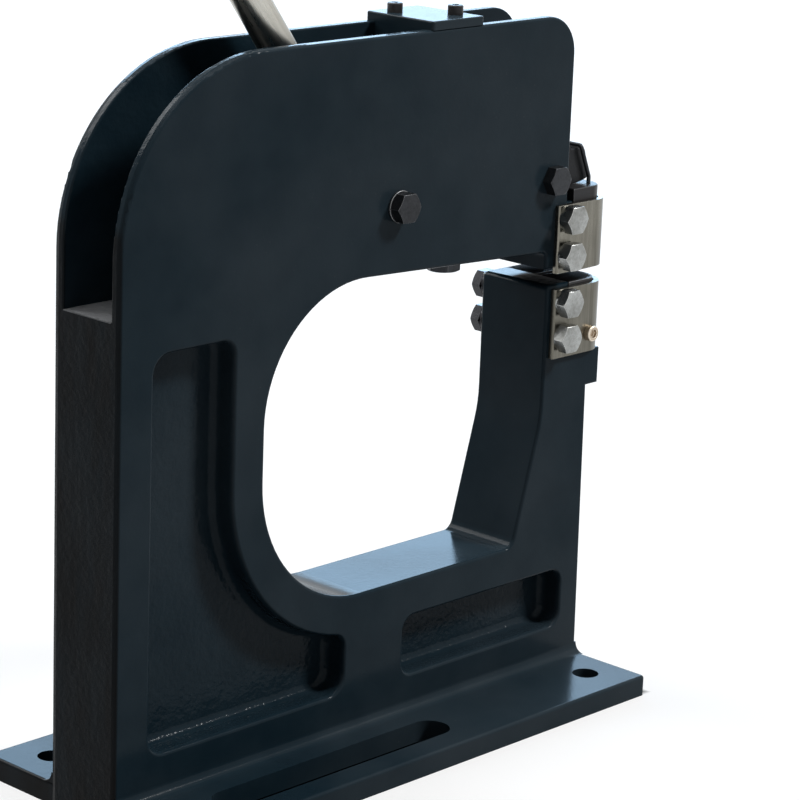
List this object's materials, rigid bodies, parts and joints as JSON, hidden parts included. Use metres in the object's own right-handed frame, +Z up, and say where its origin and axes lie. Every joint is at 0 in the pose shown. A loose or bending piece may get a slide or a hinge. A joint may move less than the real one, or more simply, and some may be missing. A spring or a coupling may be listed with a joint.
{
  "type": "deep throat shrinker stretcher",
  "caption": "Lever-worked sheet metal press: C-shaped cast frame with a deep throat, bolt-down base, rocker, ram and paired gripping jaws that draw in a sheet's edge.",
  "frame": {"origin": "centre of the base's underside", "axes": "+Z up, +X towards the jaws, -Y the side with the bolt heads"},
  "size_m": [0.4425, 0.13, 0.6296],
  "materials": {
    "frame_paint": "dark blue-grey satin enamel over a cast surface",
    "plate_paint": "dark blue-grey satin enamel on flat plate",
    "pivot_dark": "dark painted steel, worn bright on its corners",
    "black_screw": "black oxide",
    "bright_zinc": "bright zinc plate",
    "nickel_sheet": "satin nickel plate with a warm tint",
    "ground_steel": "ground steel",
    "spring_steel": "oiled spring steel",
    "handle_chrome": "polished bar",
    "lever_cast": "dark cast steel",
    "ram_black": "black oxide, rubbed at its edges",
    "jaw_steel": "hardened tool steel",
    "bush_bronze": "turned bronze",
    "screw_brass": "yellow passivated",
    "grip_black": "matt rubber"
  },
  "bodies": {
    "frame": {"frame_casting": "frame_paint", "top_plate": "plate_paint", "top_plate_screws": "black_screw", "main_pivot_bolt": "pivot_dark", "main_pivot_nut": "pivot_dark", "main_pivot_washers": "pivot_dark", "main_pivot_sleeve": "ground_steel", "hub_spacers": "ground_steel", "front_pivot_bolt": "pivot_dark", "front_pivot_nut": "pivot_dark", "front_pivot_sleeve": "ground_steel", "rocker_spacers": "ground_steel", "stop_bolt": "pivot_dark", "stop_lock_nut": "pivot_dark", "return_spring": "spring_steel", "upper_casing": "nickel_sheet", "upper_casing_bolts": "bright_zinc", "upper_casing_washers": "bright_zinc", "lower_casing": "nickel_sheet", "lower_casing_bolts": "bright_zinc", "lower_casing_washers": "bright_zinc", "lower_casing_screw": "screw_brass", "lower_wedge": "ram_black"},
    "handle": {"handle_hub": "lever_cast", "handle_hub_bush": "bush_bronze", "handle_rod": "handle_chrome", "handle_lock_nut": "bright_zinc", "handle_grip": "grip_black"},
    "rocker": {"rocker_arm": "lever_cast", "rocker_bush": "bush_bronze"},
    "ram": {"ram_block": "ram_black", "wire_bail": "pivot_dark"},
    "upper_near": {"upper_jaw_near": "jaw_steel"},
    "upper_far": {"upper_jaw_far": "jaw_steel"},
    "lower_near": {"lower_jaw_near": "jaw_steel"},
    "lower_far": {"lower_jaw_far": "jaw_steel"}
  },
  "joints": [
    {"name": "handle_swing", "type": "hinge", "parent": "frame", "child": "handle", "pos_m": [0.012, 0, 0.25], "axis": [0, -1, 0], "range_deg": [0, 35], "stiffness_Nm_per_rad": 5.2, "springref_deg": -28.65},
    {"name": "rocker_tilt", "type": "hinge", "parent": "frame", "child": "rocker", "pos_m": [0.115, 0, 0.25], "axis": [0, 1, 0], "range_deg": [0, 10.4], "deforming": ["return_spring"]},
    {"name": "ram_slide", "type": "slide", "parent": "frame", "child": "ram", "axis": [0, 0, -1], "range_m": [0, 0.005]},
    {"name": "upper_near_slide", "type": "slide", "parent": "ram", "child": "upper_near", "axis": [0, 0.9397, 0.342], "range_m": [0, 0.0016]},
    {"name": "upper_far_slide", "type": "slide", "parent": "ram", "child": "upper_far", "axis": [0, -0.9397, 0.342], "range_m": [0, 0.0016]},
    {"name": "lower_near_slide", "type": "slide", "parent": "frame", "child": "lower_near", "axis": [0, 0.9397, -0.342], "range_m": [0, 0.0016]},
    {"name": "lower_far_slide", "type": "slide", "parent": "frame", "child": "lower_far", "axis": [0, -0.9397, -0.342], "range_m": [0, 0.0016]}
  ],
  "couplings": [
    {"joint": "rocker_tilt", "follows": "handle_swing", "ratio": 0.296},
    {"joint": "ram_slide", "follows": "handle_swing", "m_per_rad": 0.0081},
    {"joint": "upper_near_slide", "follows": "handle_swing", "m_per_rad": 0.002619},
    {"joint": "upper_far_slide", "follows": "handle_swing", "m_per_rad": 0.002619},
    {"joint": "lower_near_slide", "follows": "handle_swing", "m_per_rad": 0.002619},
    {"joint": "lower_far_slide", "follows": "handle_swing", "m_per_rad": 0.002619}
  ]
}
